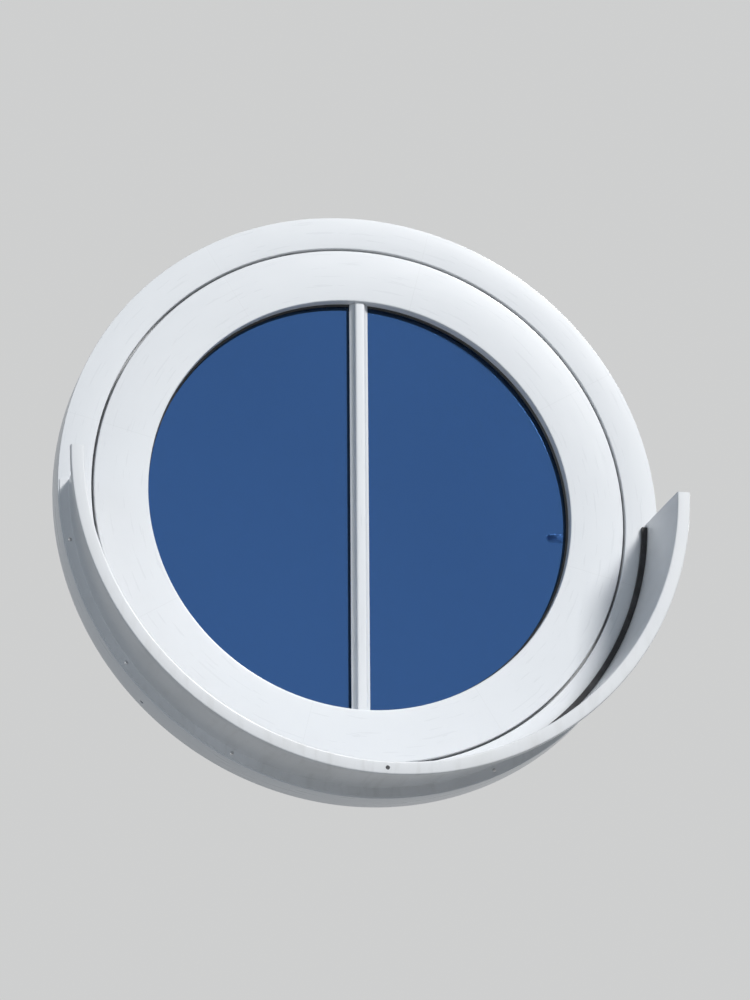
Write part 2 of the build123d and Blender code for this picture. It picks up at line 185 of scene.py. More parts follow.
class Shader(Nodes):
    """A material's node tree round one principled shader."""

    def __init__(self, name: str) -> None:
        """Start with the principled shader alone.

        Args:
            name: The material's name.
        """
        self.material = bpy.data.materials.new(name)
        self.material.use_nodes = True
        super().__init__(self.material.node_tree)
        self.surface = self.node("ShaderNodeBsdfPrincipled")
        self.output = self.node("ShaderNodeOutputMaterial").inputs["Surface"]
        self.put(self.output, self.surface.outputs["BSDF"])
        self.position = self.node("ShaderNodeTexCoord").outputs["Object"]

    def dress(self, **values: object) -> None:
        """Set inputs of the principled shader, by socket name with underscores for spaces."""
        for key, value in values.items():
            self.put(self.surface.inputs[key.replace("_", " ")], value)

    def stretched(self, scale: Triple, vector: Socket | None = None) -> Socket:
        """A vector, or else the object position, scaled along its axes."""
        return self.node("ShaderNodeMapping", {"Vector": vector or self.position, "Scale": scale}).outputs[0]

    def parts(self, vector: Socket) -> Sequence[Socket]:
        """The three numbers of a vector."""
        return self.node("ShaderNodeSeparateXYZ", {0: vector}).outputs

    def round_position(self, radius: float) -> Socket:
        """Position unrolled round the window's axis: along the ring, across it, and in depth.

        Args:
            radius: The radius at which the length along the ring is true.

        Returns:
            The vector's socket.
        """
        x, y, z = self.parts(self.position)
        along = self.math("MULTIPLY", self.math("ARCTAN2", z, x), radius)
        across = self.math("SQRT", self.math("ADD", self.math("POWER", x, 2.0), self.math("POWER", z, 2.0)))
        return self.node("ShaderNodeCombineXYZ", {X: along, Y: across, Z: y}).outputs[0]

    def noise(self, pattern: Pattern | Relief, vector: Socket | None = None) -> Socket:
        """A noise from 0 to 1, read at a vector or else at the object position."""
        inputs = {"Vector": vector or self.position, "Scale": pattern.scale, "Detail": pattern.detail}
        return self.node("ShaderNodeTexNoise", inputs).outputs["Fac"]

    def ramp(self, value: Socket, low: float, high: float, start: float = 0.0, end: float = 1.0) -> Socket:
        """A value remapped, so that what lies between low and high becomes start to end."""
        inputs = {"Value": value, "From Min": low, "From Max": high, "To Min": start, "To Max": end}
        return self.node("ShaderNodeMapRange", inputs).outputs["Result"]

    def mask(self, pattern: Pattern, vector: Socket | None = None) -> Socket:
        """A noise that is remapped as its pattern says."""
        return self.ramp(self.noise(pattern, vector), pattern.low, pattern.high, pattern.start, pattern.end)

    def blend(self, amount: Socket, first: Triple | Socket, second: Triple | Socket) -> Socket:
        """Mix two colours.

        Args:
            amount: 0 for the first and 1 for the second.
            first: A colour or a socket.
            second: A colour or a socket.

        Returns:
            The mixed colour's socket.
        """
        made = self.node("ShaderNodeMix", {"Factor": amount}, data_type="RGBA")
        for name, value in (("A", first), ("B", second)):
            target = next(socket for socket in made.inputs if socket.name == name and socket.type == "RGBA")
            self.put(target, value if isinstance(value, Socket) else (*value, 1.0))
        return next(socket for socket in made.outputs if socket.type == "RGBA")

    def bump(self, height: Socket, distance: float, strength: float) -> None:
        """Raise the surface, on top of the bumps before.

        Args:
            height: The height from 0 to 1.
            distance: Metres that a height of 1 stands for.
            strength: How much of it counts.
        """
        normal = self.surface.inputs["Normal"]
        made = self.node("ShaderNodeBump", {"Height": height, "Distance": distance, "Strength": strength})
        for before in normal.links:
            self.put(made.inputs["Normal"], before.from_socket)
        self.put(normal, made.outputs["Normal"])

    def relief(self, relief: Relief, vector: Socket | None = None) -> Socket:
        """Raise the surface by a noise.

        Args:
            relief: The noise and how high it stands.
            vector: Where it is read, instead of the object position.

        Returns:
            The noise's socket.
        """
        height = self.noise(relief, vector)
        self.bump(height, relief.height, relief.strength)
        return height

    def crevice(self, reach: float) -> Socket:
        """1 on open faces, and towards 0 in corners where another face is within reach."""
        made = self.node("ShaderNodeAmbientOcclusion", {"Distance": reach}, samples=4, only_local=False)
        return made.outputs["AO"]


# Finishes

@dataclass(frozen=True)
class PaintedTimber:
    """Brushed gloss paint on timber: faint grain, brush marks, dust and painted shade in the corners, joints
    in a ring.
    """

    name: str = "painted_timber"
    colour: Triple = (0.80, 0.815, 0.835)
    shade: Triple = (0.73, 0.75, 0.775)
    # The dust colour also gives the painted shade in the corners.
    dust: Triple = (0.34, 0.34, 0.33)
    roughness: Point = (0.26, 0.36)
    cloud: Pattern = Pattern(3.2, 3.0, 0.35, 0.75, 0.0, 0.35)
    grain: Relief = Relief(420.0, 4.0, 0.00005, 0.25)
    brush: Relief = Relief(150.0, 2.0, 0.00006, 0.25)
    grain_draw: float = 0.08
    corner_reach: float = 0.009
    corner_edges: Point = (0.15, 0.75)
    corner_dust_and_shade: float = 0.55
    spots: Pattern = Pattern(55.0, 5.0, 0.52, 0.72, 0.35, 1.0)
    ring_radius: float = 0.5
    ring_joints: int = 8
    first_joint: float = 0.3
    joint_width: float = 0.0007
    joint_dust: float = 0.16
    joint_depth: float = 0.0001
    joint_strength: float = 0.6
    straight: bool = False

    def build(self) -> Material:
        """Build the paint.

        Returns:
            The material.
        """
        shader = Shader(self.name)
        if self.straight:
            run = shader.stretched((1.0, 1.0, self.grain_draw))
        else:
            run = shader.stretched((self.grain_draw, 1.0, 1.0), shader.round_position(self.ring_radius))
        shader.relief(self.grain, run)
        brush = shader.relief(self.brush, run)
        tone = shader.blend(shader.mask(self.cloud), self.colour, self.shade)
        # Ambient occlusion darkens the corners, broken up by dust spots: painted shade and dust together.
        corner = shader.ramp(shader.crevice(self.corner_reach), *self.corner_edges, self.corner_dust_and_shade, 0.0)
        tone = shader.blend(shader.math("MULTIPLY", corner, shader.mask(self.spots)), tone, self.dust)
        if not self.straight:
            joint = self.joint(shader)
            tone = shader.blend(shader.math("MULTIPLY", joint, self.joint_dust), tone, self.dust)
            shader.bump(shader.math("SUBTRACT", 1.0, joint), self.joint_depth, self.joint_strength)
        shader.dress(Base_Color=tone, Roughness=shader.ramp(brush, *NOISE_MIDDLE, *self.roughness),
                     IOR=1.5, Coat_Weight=0.25, Coat_Roughness=0.14)
        return shader.material

    def joint(self, shader: Shader) -> Socket:
        """1 on the glued joints between the ring's segments, which run away from the axis, and 0 elsewhere.

        Args:
            shader: The tree that the nodes go into.

        Returns:
            The value's socket.
        """
        turn, across, _ = shader.parts(shader.round_position(1.0))
        pitch = 2 * pi / self.ring_joints
        start = 4 * pi + self.first_joint * pitch
        way = shader.math("PINGPONG", shader.math("ADD", turn, start), pitch / 2)
        return shader.ramp(shader.math("MULTIPLY", way, across), 0.0, self.joint_width, 1.0, 0.0)


@dataclass(frozen=True)
class CoatedSheet:
    """White coated aluminium sheet: a fine peel, dust that gathers low, and faint rain runs."""

    colour: Triple = (0.80, 0.81, 0.825)
    dust: Triple = (0.52, 0.52, 0.50)
    roughness: Point = (0.30, 0.48)
    dusty_heights: Point = (-0.62, -0.15)
    dust_amounts: Point = (0.32, 0.08)
    runs: Pattern = Pattern(60.0, 4.0, 0.50, 0.78)
    run_draw: Triple = (1.0, 0.15, 0.25)
    patches: Pattern = Pattern(9.0, 5.0, 0.42, 0.75)
    peel: Relief = Relief(900.0, 2.0, 0.00004, 0.4)

    def build(self) -> Material:
        """Build the coated sheet.

        Returns:
            The material.
        """
        shader = Shader("coated_sheet")
        level = shader.ramp(shader.parts(shader.position)[Z], *self.dusty_heights, *self.dust_amounts)
        patches = shader.mask(self.patches)
        dirt = shader.math("ADD", shader.mask(self.runs, shader.stretched(self.run_draw)), patches)
        shader.relief(self.peel)
        shader.dress(Base_Color=shader.blend(shader.math("MULTIPLY", level, dirt), self.colour, self.dust),
                     Roughness=shader.ramp(patches, 0.0, 1.0, *self.roughness),
                     IOR=1.5, Coat_Weight=0.1, Coat_Roughness=0.2)
        return shader.material


@dataclass(frozen=True)
class PaintedSkyGlass:
    """Glass whose tint and reflections carry a painted reflection of a blue sky, slightly wavy, with a very
    faint film.
    """

    # The blue tint and the blue of the reflections are a painted reflection of a blue sky.
    painted_sky_tint: Triple = (0.215, 0.358, 0.60)
    painted_sky_sheen: Triple = (0.25, 0.50, 0.95)
    paler: float = 1.04
    film: Pattern = Pattern(6.0, 6.0, 0.45, 0.8, 0.0, 0.012)
    wave: Relief = Relief(2.2, 1.0, 0.0006, 0.25)
    wave_draw: Triple = (1.0, 1.0, 0.5)

    def build(self) -> Material:
        """Build the glass.

        Returns:
            The material.
        """
        shader = Shader("painted_sky_glass")
        wave = shader.relief(self.wave, shader.stretched(self.wave_draw))
        light = tuple(part * self.paler for part in self.painted_sky_tint)
        # The deep blue colour and the blue tint of the reflections are a painted reflection of a blue sky.
        shader.dress(Base_Color=shader.blend(shader.ramp(wave, *NOISE_MIDDLE), self.painted_sky_tint, light),
                     Roughness=shader.mask(self.film),
                     Transmission_Weight=1.0, IOR=1.45, Specular_Tint=(*self.painted_sky_sheen, 1.0))
        return shader.material


@dataclass(frozen=True)
class Rubber:
    """Black seal, matt with worn patches."""

    colour: Triple = (0.012, 0.013, 0.016)
    worn: Triple = (0.05, 0.05, 0.055)
    roughness: Point = (0.38, 0.62)
    patches: Pattern = Pattern(38.0, 5.0, 0.45, 0.75)
    skin: Relief = Relief(700.0, 3.0, 0.00006, 0.5)

    def build(self) -> Material:
        """Build the rubber.

        Returns:
            The material.
        """
        shader = Shader("black_rubber")
        patches = shader.mask(self.patches)
        shader.relief(self.skin)
        shader.dress(Base_Color=shader.blend(patches, self.colour, self.worn),
                     Roughness=shader.ramp(patches, 0.0, 1.0, *self.roughness), IOR=1.45)
        return shader.material


@dataclass(frozen=True)
class Metal:
    """Bare or satin metal with fine brushing and faint stains."""

    name: str
    colour: Triple
    stain: Triple
    roughness: Point
    line_draw: Triple = (1.0, 1.0, 0.06)
    lines: Relief = Relief(1300.0, 2.0, 0.00003, 0.4)
    stains: Pattern = Pattern(26.0, 5.0, 0.46, 0.8)
    stain_roughness: float = 0.08

    def build(self) -> Material:
        """Build the metal.

        Returns:
            The material.
        """
        shader = Shader(self.name)
        lines = shader.relief(self.lines, shader.stretched(self.line_draw))
        stains = shader.mask(self.stains)
        rough = shader.math("ADD", shader.ramp(lines, *NOISE_MIDDLE, *self.roughness),
                            shader.math("MULTIPLY", stains, self.stain_roughness))
        shader.dress(Base_Color=shader.blend(stains, self.colour, self.stain), Roughness=rough, Metallic=1.0)
        return shader.material


@dataclass(frozen=True)
class MouldedPlastic:
    """Grey moulded plastic with a fine spark-eroded skin."""

    colour: Triple = (0.30, 0.31, 0.33)
    light: Triple = (0.36, 0.37, 0.39)
    patches: Pattern = Pattern(18.0)
    skin: Relief = Relief(1500.0, 2.0, 0.00005, 0.5)

    def build(self) -> Material:
        """Build the plastic.

        Returns:
            The material.
        """
        shader = Shader("moulded_plastic")
        shader.relief(self.skin)
        patches = shader.noise(self.patches)
        shader.dress(Base_Color=shader.blend(patches, self.colour, self.light), Roughness=0.5)
        return shader.material


@dataclass
class Finishes:
    """Every finish of the window, under its slot's name, and the glazing bars' own timber."""

    timber: Material = field(default_factory=PaintedTimber().build)
    bar_timber: Material = field(default_factory=PaintedTimber("painted_timber_bar", straight=True).build)
    sheet: Material = field(default_factory=CoatedSheet().build)
    glass: Material = field(default_factory=PaintedSkyGlass().build)
    rubber: Material = field(default_factory=Rubber().build)
    plastic: Material = field(default_factory=MouldedPlastic().build)
    steel: Material = field(default_factory=Metal(
        "zinc_steel", (0.60, 0.61, 0.63), (0.44, 0.43, 0.41), (0.28, 0.42)).build)
    satin: Material = field(default_factory=Metal(
        "satin_aluminium", (0.74, 0.75, 0.77), (0.62, 0.63, 0.65), (0.24, 0.34), (0.06, 1.0, 1.0)).build)
    spacer: Material = field(default_factory=Metal(
        "mill_aluminium", (0.66, 0.67, 0.69), (0.55, 0.56, 0.58), (0.34, 0.46)).build)

    def for_slot(self, slot: Slot) -> Material:
        """The finish that has the name of a slot."""
        return getattr(self, slot.name.lower())


# Mesh tools

@dataclass(frozen=True)
class Corner:
    """A corner of a section: radius from the window's axis, depth, and how much it is rounded."""

    radius: float
    depth: float
    rounding: float = 0.0


def rounded(corners: Sequence[Corner], steps: int = 5) -> list[Point]:
    """Points of a closed section with its corners rounded.

    Args:
        corners: The corners in order.
        steps: Lines on each rounded corner.

    Returns:
        The section's points.
    """
    points: list[Point] = []
    for place, corner in enumerate(corners):
        before, after = corners[place - 1], corners[(place + 1) % len(corners)]
        if corner.rounding <= 0:
            points.append((corner.radius, corner.depth))
            continue
        ends = []
        for other in (before, after):
            across, deep = other.radius - corner.radius, other.depth - corner.depth
            share = corner.rounding / hypot(across, deep)
            ends.append((corner.radius + across * share, corner.depth + deep * share))
        for step in range(steps + 1):
            t = step / steps
            points.append(tuple(
                (1 - t) ** 2 * start + 2 * t * (1 - t) * middle + t ** 2 * end
                for start, middle, end in zip(ends[0], (corner.radius, corner.depth), ends[1])))
    return points


class Piece:
    """A mesh in the making, which can hold several closed shells."""

    def __init__(self, name: str) -> None:
        """Start an empty mesh under the piece's name."""
        self.name = name
        self.mesh = bmesh.new()

    def skin(self, loops: Sequence[Sequence[Sequence[float]]], closed: bool = False) -> None:
        """Join loops of equal length by faces.

        Args:
            loops: Loops of points, one after another.
            closed: Whether the last loop joins the first. Otherwise both ends are capped.
        """
        rows = [[self.mesh.verts.new(point) for point in loop] for loop in loops]
        pairs = list(zip(rows, rows[1:])) + ([(rows[-1], rows[0])] if closed else [])
        for first, second in pairs:
            for place in range(len(first)):
                after = (place + 1) % len(first)
                self.mesh.faces.new((first[place], first[after], second[after], second[place]))
        if not closed:
            self.mesh.faces.new(rows[0])
            self.mesh.faces.new(list(reversed(rows[-1])))

    def ring(self, section: Sequence[Point], start: float = 0.0, sweep: float = 360.0) -> None:
        """Turn a section about the window's axis.

        Args:
            section: Points as radius and depth.
            start: First angle in degrees.
            sweep: Degrees turned.
        """
        closed = sweep >= 360.0
        count = round(RING_SEGMENTS * sweep / 360.0)
        angles = [radians(start + sweep * step / count) for step in range(count + (0 if closed else 1))]
        self.skin([[(r * cos(a), y, r * sin(a)) for r, y in section] for a in angles], closed)

    def lathe(self, outline: Sequence[Point], place: Matrix, segments: int = 40) -> None:
        """Turn an outline about the local Z axis, and close it flat at both ends.

        Args:
            outline: Points as radius and height.
            place: Where the local frame is.
            segments: Steps in a full turn.
        """
        turn = [2 * pi * step / segments for step in range(segments)]
        closed = [(POLE_RADIUS, outline[0][1]), *outline, (POLE_RADIUS, outline[-1][1])]
        self.skin([[place @ Vector((r * cos(a), r * sin(a), height)) for a in turn] for r, height in closed])

    def plate(self, outline: Callable[[float], list[Point]], levels: Sequence[Point], place: Matrix) -> None:
        """Stack an outline at pairs of height and inset, for a plate with rounded edges."""
        self.skin([[place @ Vector((x, y, height)) for x, y in outline(inset)] for height, inset in levels])

    def block(self, low: Sequence[float], high: Sequence[float]) -> None:
        """Add a plain block, as a tool for cutting.

        Args:
            low: The corner with the lowest coordinates.
            high: The corner with the highest.
        """
        square = ((LOW, LOW), (HIGH, LOW), (HIGH, HIGH), (LOW, HIGH))
        ends = (low, high)
        self.skin([[(ends[i][X], ends[end][Y], ends[k][Z]) for i, k in square] for end in (LOW, HIGH)])

    def solid(self) -> bpy.types.Object:
        """Turn the mesh into an object, with its faces turned outwards.

        Returns:
            The new object.
        """
        bmesh.ops.remove_doubles(self.mesh, verts=self.mesh.verts, dist=MERGE_DISTANCE)
        bmesh.ops.recalc_face_normals(self.mesh, faces=self.mesh.faces)
        data = bpy.data.meshes.new(self.name)
        self.mesh.to_mesh(data)
        self.mesh.free()
        made = bpy.data.objects.new(self.name, data)
        bpy.context.scene.collection.objects.link(made)
        return made

    def finish(self, material: Material, body: Body, slot: Slot, replaces: Sequence[str] = (),
               cutter: "Piece | None" = None) -> None:
        """Make the object, dress it and hang it on its body.

        Args:
            material: The finish.
            body: The body that the piece rides on.
            slot: The record's slot; not used.
            replaces: CAD nodes that the piece stands for.
            cutter: Closed shapes that are cut out of the piece.
        """
        made = self.solid()
        if cutter is not None:
            carve(made, cutter.solid())
        data = made.data
        data.shade_smooth()
        data.set_sharp_from_angle(angle=SMOOTH_ANGLE)
        data.materials.append(material)
        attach(made, body.value)
        if replaces:
            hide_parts(*replaces)
        log.info("%s: %d faces on %s", self.name, len(data.polygons), body.value)


def carve(target: bpy.types.Object, tool: bpy.types.Object) -> None:
    """Cut one object out of another.

    Args:
        target: The object that is cut.
        tool: The object that is cut away, which is then deleted.
    """
    modifier = target.modifiers.new("carve", "BOOLEAN")
    modifier.operation, modifier.solver, modifier.object = "DIFFERENCE", "EXACT", tool
    graph = bpy.context.evaluated_depsgraph_get()
    whole, target_mesh = target.data, bpy.data.meshes.new_from_object(target.evaluated_get(graph))
    target.modifiers.clear()
    target.data = target_mesh
    spent = tool.data
    bpy.data.objects.remove(tool)
    for mesh in (whole, spent):
        bpy.data.meshes.remove(mesh)


def round_rectangle(width: float, height: float, corner: float,
                    steps: int = 6) -> Callable[[float], list[Point]]:
    """An outline that can be inset.

    Args:
        width: Full width.
        height: Full height.
        corner: Corner radius.
        steps: Lines on each corner.

    Returns:
        A function from an inset to the points.
    """
    def outline(inset: float) -> list[Point]:
        """Points at an inset.

        Args:
            inset: How far the outline shrinks on every side.

        Returns:
            The points.
        """
        radius = max(corner - inset, SMALLEST_CORNER)
        half_x, half_y = width / 2 - inset - radius, height / 2 - inset - radius
        points = []
        for quarter, (sx, sy) in enumerate(((1, 1), (-1, 1), (-1, -1), (1, -1))):
            for step in range(steps + 1):
                a = (quarter + step / steps) * pi / 2
                points.append((sx * half_x + radius * cos(a), sy * half_y + radius * sin(a)))
        return points
    return outline


def soft_levels(low: float, high: float, edge: float, steps: int = 4, both: bool = False) -> list[Point]:
    """Heights and insets of a plate whose top edge, or both edges, are rounded.

    Args:
        low: Lower face.
        high: Upper face.
        edge: Rounding.
        steps: Lines on each rounding.
        both: Whether the lower edge is rounded too.

    Returns:
        Pairs of height and inset.
    """
    turns = [pi / 2 * k / steps for k in range(steps + 1)]
    quarter = [(edge * sin(turn), edge * (1 - cos(turn))) for turn in turns]
    top = [(high - edge + rise, inset) for rise, inset in quarter]
    bottom = [(low + edge - rise, inset) for rise, inset in reversed(quarter)] if both else [(low, 0.0)]
    return bottom + top


@dataclass(frozen=True)
class ScrewHead:
    """A raised screw head with a round recess in its middle, from shares of its radius and height."""

    radius: float
    dome: float
    shares: tuple[Point, ...] = (
        (0.34, 0.35), (0.40, 0.98), (0.62, 0.86), (0.85, 0.52), (0.97, 0.18), (1.0, 0.0))

    def add(self, piece: Piece, place: Matrix) -> None:
        """Add the head to a piece, with its foot at a place."""
        outline = [(self.radius * across, self.dome * up) for across, up in self.shares]
        piece.lathe(outline, place, HEAD_SEGMENTS)


# Sizes and places

def measured(node: str, end: int, axis: int, more: float = 0.0) -> float:
    """A dataclass field that is read from a CAD node's box, with more added."""
    return field(default_factory=lambda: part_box(node)[end][axis] + more)


def centre(node: str) -> Triple:
    """The middle of a CAD node's box."""
    return tuple((low + high) / 2 for low, high in zip(*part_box(node)))


def into_room(x: float, y: float = 0.0, z: float = 0.0) -> Matrix:
    """A local frame with Z into the room and Y up."""
    return Matrix.Translation(Vector((x, y, z))) @ INTO_ROOM


def towards(spot: Triple, way: Triple) -> Matrix:
    """A local frame at a spot, with Z along a direction."""
    return Matrix.Translation(Vector(spot)) @ Vector(way).to_track_quat("Z", "Y").to_matrix().to_4x4()


@dataclass(frozen=True)
class WindowSizes:
    """Main sizes, read from the frame's boxes, with the face widths measured on the object."""

    frame_radius: float = measured("outer_frame", HIGH, X)
    frame_depth: float = measured("outer_frame", HIGH, Y)
    leaf_radius: float = measured("sash_frame", HIGH, X)
    sash_depth: float = measured("sash_frame", HIGH, Y)
    pane_front: float = measured("outer_pane", LOW, Y)
    pane_back: float = measured("inner_pane", HIGH, Y)
    glazing_radius: float = measured("setting_blocks", HIGH, X, 0.0003)
    lip_radius: float = measured("sill_trough", HIGH, X)
    lip_front: float = measured("sill_trough", LOW, Y)
    sight_radius: float = 0.430
    sash_face: float = 0.1085
    seam: float = 0.005
    shoulder: float = 0.0115
    stop_depth: float = 0.022
    leg_depth: float = 0.020
    seal_reveal: float = 0.004
    leaf_gap: float = 0.002
    rebate_lap: float = 0.008

    @property
    def sash_radius(self) -> float:
        """Outer edge of the sash's face."""
        return self.sight_radius + self.sash_face

    @property
    def stop_radius(self) -> float:
        """Inner edge of the frame's face."""
        return self.sash_radius + self.seam

    @property
    def body_radius(self) -> float:
        """Sash behind its shoulder."""
        return self.sash_radius + self.shoulder

    @property
    def rebate_radius(self) -> float:
        """Frame's rebate round the locking gear."""
        return self.leaf_radius - self.rebate_lap


# Sub-assemblies

@dataclass
class OuterFrame:
    """Frame ring with rounded arrises and its fixing holes, and the screws of the keeps."""

    sizes: WindowSizes
    finishes: Finishes
    arris: float = 0.0022
    small_arris: float = 0.0010
    hole_radius: float = 0.004
    hole_segments: int = 24
    overshoot: float = 0.02
    keep_angles: tuple[float, ...] = (-58.0, 0.0, 58.0)
    keep_screws: tuple[Point, ...] = ((-0.014, 0.0), (0.034, -0.004))
    keep_face: float = 0.0028
    keep_head: ScrewHead = ScrewHead(0.0036, 0.0005)

    def build(self) -> None:
        """Build the ring and the screws."""
        self.ring()
        self.screws()

    def ring(self) -> None:
        """The frame's ring, with a hole for each of its fixing screws."""
        s = self.sizes
        ring = Piece("frame_ring")
        ring.ring(rounded([
            Corner(s.stop_radius, 0.0, self.arris),
            Corner(s.stop_radius, s.stop_depth, self.small_arris),
            Corner(s.rebate_radius, s.stop_depth),
            Corner(s.rebate_radius, s.frame_depth, self.small_arris),
            Corner(s.frame_radius, s.frame_depth, self.small_arris),
            Corner(s.frame_radius, 0.0, self.small_arris),
        ]))
        drill = Piece("frame_drill")
        for mount in frame["record"]["mounts"]:
            if mount["kind"] == "bore":
                x, y, z = mount["pos_m"]
                half = (mount["dims"]["length_mm"] / 1000 + self.overshoot) / 2
                drill.lathe([(self.hole_radius, -half), (self.hole_radius, half)],
                            towards((x, y, z), (x, 0.0, z)), self.hole_segments)
        ring.finish(self.finishes.timber, Body.FRAME, Slot.TIMBER, ["outer_frame"], drill)

    def screws(self) -> None:
        """Two flat screws in each keep's plate, clear of the cams."""
        depth, radius = centre("drive_rail")[Y], self.sizes.rebate_radius - self.keep_face
        heads = Piece("keep_screw_heads")
        for angle in self.keep_angles:
            for along, deep in self.keep_screws:
                a = radians(angle) + along / radius
                spot = (radius * cos(a), depth + deep, radius * sin(a))
                self.keep_head.add(heads, towards(spot, (-cos(a), 0.0, -sin(a))))
        heads.finish(self.finishes.steel, Body.FRAME, Slot.STEEL)


@dataclass
class Sash:
    """Sash ring, its glazing seals and its bead."""

    sizes: WindowSizes
    finishes: Finishes
    arris: float = 0.0025
    inner_arris: float = 0.0030
    small_arris: float = 0.001
    stop_gap: float = 0.004
    groove_start: float = -72.0
    groove_end: float = 74.0
    groove_depth: float = 0.0033
    hub_hole: float = 0.007
    hub_segments: int = 32
    fit: float = 0.0003
    bead_front: float = measured("glazing_bead", LOW, Y)
    bead_slope: float = 0.009
    bead_edges: Triple = (0.0012, 0.0008, 0.004)
    seal_lap: float = 0.010
    seal_curve: tuple[Point, ...] = ((0.0003, 0.16), (0.0012, 0.30), (0.0024, 0.52))
    seal_brim: Point = (0.0004, 0.96)

    def build(self) -> None:
        """Build every piece of the sash."""
        self.ring()
        self.bead()
        self.seal("outer_seal", self.sizes.pane_front, self.sizes.leg_depth, "outer_glazing_seal")
        self.seal("inner_seal", self.sizes.pane_back, self.bead_front, "inner_glazing_seal")

    def section(self, groove_floor: float) -> list[Point]:
        """The ring's section.

        Args:
            groove_floor: The radius of the rail's groove at its floor.

        Returns:
            Points as radius and depth.
        """
        s = self.sizes
        low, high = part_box("drive_rail")
        front, back = low[Y] - self.fit, high[Y] + self.fit
        leaf_front, stop = s.frame_depth + s.leaf_gap, s.stop_depth + self.stop_gap
        return rounded([
            Corner(s.sight_radius, 0.0, self.inner_arris),
            Corner(s.sight_radius, s.leg_depth),
            Corner(s.glazing_radius, s.leg_depth),
            Corner(s.glazing_radius, s.sash_depth),
            Corner(s.leaf_radius, s.sash_depth, self.arris),
            Corner(s.leaf_radius, leaf_front, self.small_arris),
            Corner(s.body_radius, leaf_front),
            Corner(s.body_radius, back), Corner(groove_floor, back),
            Corner(groove_floor, front), Corner(s.body_radius, front),
            Corner(s.body_radius, stop, self.small_arris),
            Corner(s.sash_radius, stop),
            Corner(s.sash_radius, 0.0, self.arris),
        ])

    def ring(self) -> None:
        """The ring, with the rail's groove on the handle side."""
        s = self.sizes
        plain, cut = self.section(s.body_radius), self.section(s.body_radius - self.groove_depth)
        sweep = self.groove_end - self.groove_start
        inside = int(sweep * RING_SEGMENTS / 360.0)
        outside = RING_SEGMENTS - inside
        stations = [(self.groove_start, plain)]
        stations += [(self.groove_start + sweep * k / inside, cut) for k in range(inside + 1)]
        stations += [(self.groove_end + (360.0 - sweep) * k / outside, plain) for k in range(outside)]
        ring = Piece("sash_ring")
        ring.skin([[(r * cos(radians(a)), y, r * sin(radians(a))) for r, y in section]
                   for a, section in stations], closed=True)
        ring.finish(self.finishes.timber, Body.SASH, Slot.TIMBER, ["sash_frame"], self.gear_pocket())

    def gear_pocket(self) -> Piece:
        """The pocket for the gearbox, and the hole for the pinion's hub.

        Returns:
            A tool for cutting.
        """
        low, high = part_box("gearbox_case")
        pocket = Piece("gear_pocket")
        pocket.block((low[X] - self.fit, low[Y], low[Z] - self.fit),
                     (self.sizes.body_radius - self.groove_depth, high[Y], high[Z] + self.fit))
        low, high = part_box("handle_spindle")
        pocket.lathe([(self.hub_hole, low[Y]), (self.hub_hole, high[Y])],
                     into_room(centre("handle_spindle")[X]), self.hub_segments)
        return pocket

    def bead(self) -> None:
        """The inner bead, sloped and rounded."""
        s = self.sizes
        front, back, nose = self.bead_edges
        outer = s.glazing_radius - self.fit
        bead = Piece("inner_bead")
        bead.ring(rounded([
            Corner(s.sight_radius, self.bead_front, front),
            Corner(outer, self.bead_front),
            Corner(outer, s.sash_depth, back),
            Corner(s.sight_radius + self.bead_slope, s.sash_depth, nose),
        ]))
        bead.finish(self.finishes.timber, Body.SASH, Slot.TIMBER, ["glazing_bead"])

    def seal(self, name: str, pane: float, timber: float, node: str) -> None:
        """A black seal between glass and timber, hollow where it meets the glass.

        Args:
            name: The piece's name.
            pane: Depth of the glass face.
            timber: Depth of the timber face.
            node: The CAD node that it replaces.
        """
        s = self.sizes
        inner, outer = s.sight_radius - s.seal_reveal, s.sight_radius + self.seal_lap
        curve = [(inner + out, share) for out, share in ((0.0, 0.0), *self.seal_curve)]
        curve.append((s.sight_radius - self.seal_brim[0], self.seal_brim[1]))
        seal = Piece(name)
        seal.ring([*((radius, pane + (timber - pane) * share) for radius, share in curve),
                   (outer, timber), (outer, pane)])
        seal.finish(self.finishes.rubber, Body.SASH, Slot.RUBBER, [node])


